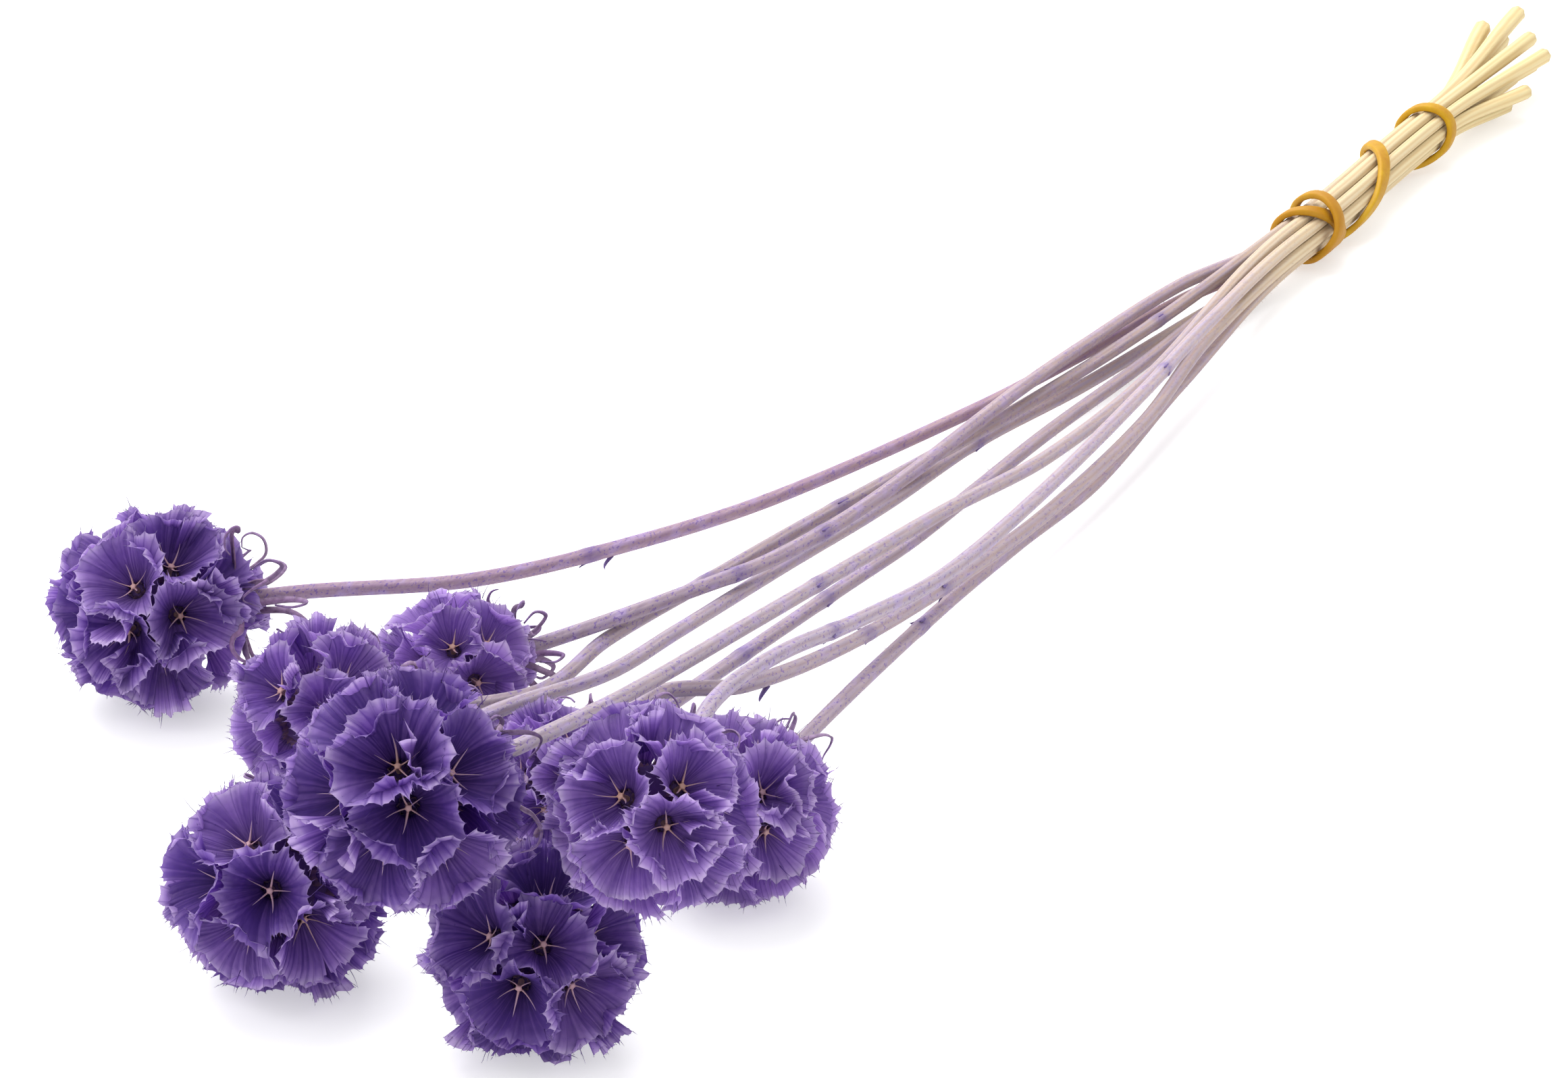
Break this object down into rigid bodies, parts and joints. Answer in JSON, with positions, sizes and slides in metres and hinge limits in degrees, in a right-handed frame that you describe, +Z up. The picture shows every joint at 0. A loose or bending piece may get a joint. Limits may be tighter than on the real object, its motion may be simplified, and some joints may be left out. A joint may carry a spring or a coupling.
{
  "type": "dried scabiosa bunch",
  "caption": "Bunch of dried, dyed violet starflower scabiosa lying down: globe heads of papery ribbed cups on bare ridged stems, tied near the cut ends with a wound rubber band.",
  "frame": {"origin": "on the surface the bunch lies on, under the middle of its bounding box", "axes": "+X along the bunch towards the cut ends, +Z up, +Y to the side that one head lies out to"},
  "size_m": [0.4417, 0.1488, 0.0576],
  "materials": {
    "head_cups": "dry papery, dyed violet with paler lilac rims",
    "bracts": "dry, matt brown-purple",
    "stems": "dry ridged straw, cream towards the cut ends",
    "band": "amber, satin"
  },
  "bodies": {
    "root": {"head_a": "head_cups", "involucre_a": "bracts", "stem_a": "stems", "head_b": "head_cups", "involucre_b": "bracts", "stem_b": "stems", "head_c": "head_cups", "involucre_c": "bracts", "stem_c": "stems", "head_d": "head_cups", "involucre_d": "bracts", "stem_d": "stems", "head_e": "head_cups", "involucre_e": "bracts", "stem_e": "stems", "head_f": "head_cups", "involucre_f": "bracts", "stem_f": "stems", "head_g": "head_cups", "involucre_g": "bracts", "stem_g": "stems", "head_h": "head_cups", "involucre_h": "bracts", "stem_h": "stems", "head_i": "head_cups", "involucre_i": "bracts", "stem_i": "stems", "rubber_band": "band"}
  },
  "joints": []
}
